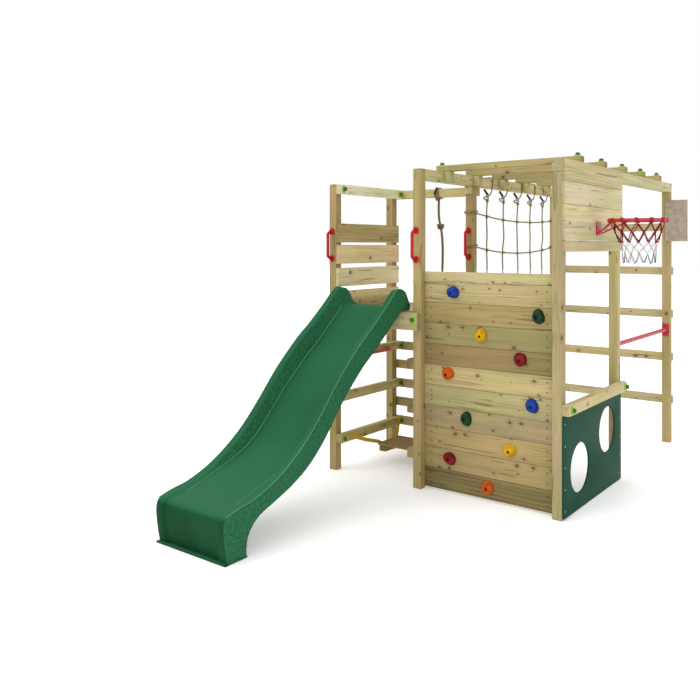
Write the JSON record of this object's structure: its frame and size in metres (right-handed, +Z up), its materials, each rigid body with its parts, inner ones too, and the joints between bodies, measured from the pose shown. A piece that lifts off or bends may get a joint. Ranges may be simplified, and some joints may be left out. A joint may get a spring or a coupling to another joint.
{
  "type": "climbing frame with rock climbing wall",
  "caption": "Timber garden climbing frame: rock climbing wall with holds, slide tower, monkey bars, ladder, rope net, climbing rope, ball hoop and play panel.",
  "frame": {"origin": "on the ground, in the middle of the box around the whole frame", "axes": "+Y runs back from the climbing wall along the monkey bars, +X runs right along the wall as seen from the front, +Z up"},
  "size_m": [2.0563, 3.7863, 2.0398],
  "materials": {
    "timber": "pressure-treated softwood, planed, green-yellow",
    "board": "pressure-treated softwood boards",
    "slide_green": "blow-moulded polyethylene, fine grain",
    "panel_green": "smooth dark green sheet",
    "rope": "twisted brown rope",
    "red_metal": "red powder coat",
    "red_plastic": "moulded red plastic",
    "net_cord": "braided red, white and blue cord",
    "hold_blue": "moulded, slightly rough",
    "hold_green": "moulded, slightly rough",
    "hold_yellow": "moulded, slightly rough",
    "hold_red": "moulded, slightly rough",
    "hold_orange": "moulded, slightly rough"
  },
  "bodies": {
    "frame": {"back_rung_1": "timber", "back_rung_2": "timber", "back_rung_3": "timber", "back_rung_4": "timber", "back_rung_5": "timber", "beam_left": "timber", "beam_right": "timber", "cargo_net": "rope", "climbing_rope": "rope", "climbing_wall": "board", "deck": "timber", "gym_bar": "red_metal", "handle_tower_back": "red_plastic", "handle_tower_left": "red_plastic", "handle_tower_right": "red_plastic", "hold_01_blue": "hold_blue", "hold_02_green": "hold_green", "hold_03_yellow": "hold_yellow", "hold_04_red": "hold_red", "hold_05_orange": "hold_orange", "hold_06_blue": "hold_blue", "hold_07_green": "hold_green", "hold_08_yellow": "hold_yellow", "hold_09_red": "hold_red", "hold_10_orange": "hold_orange", "hoop": "red_metal", "hoop_board": "board", "hoop_net": "net_cord", "ladder_rung_1": "timber", "ladder_rung_2": "timber", "ladder_rung_3": "timber", "ladder_rung_4": "timber", "ladder_rung_5": "timber", "monkey_bar_1": "timber", "monkey_bar_2": "timber", "monkey_bar_3": "timber", "monkey_bar_4": "timber", "monkey_bar_5": "timber", "play_panel": "panel_green", "play_panel_rail": "timber", "post_den_back": "timber", "post_ladder_left": "timber", "post_ladder_right": "timber", "post_tower_back_left": "timber", "post_tower_back_right": "timber", "post_tower_front_left": "timber", "post_wall_left": "timber", "post_wall_right": "timber", "side_board_1": "board", "side_board_2": "board", "side_board_3": "board", "side_board_4": "board", "side_rail_left_1": "timber", "side_rail_left_2": "timber", "side_rail_left_3": "timber", "side_rail_right_1": "timber", "slide": "slide_green", "tower_top_rail_back": "timber", "tower_top_rail_side": "timber"},
    "step": {"balance_step": "timber"}
  },
  "joints": [
    {"name": "step_sway", "type": "slide", "parent": "frame", "child": "step", "axis": [1, 0, 0], "range_m": [-0.03, 0.03]}
  ]
}
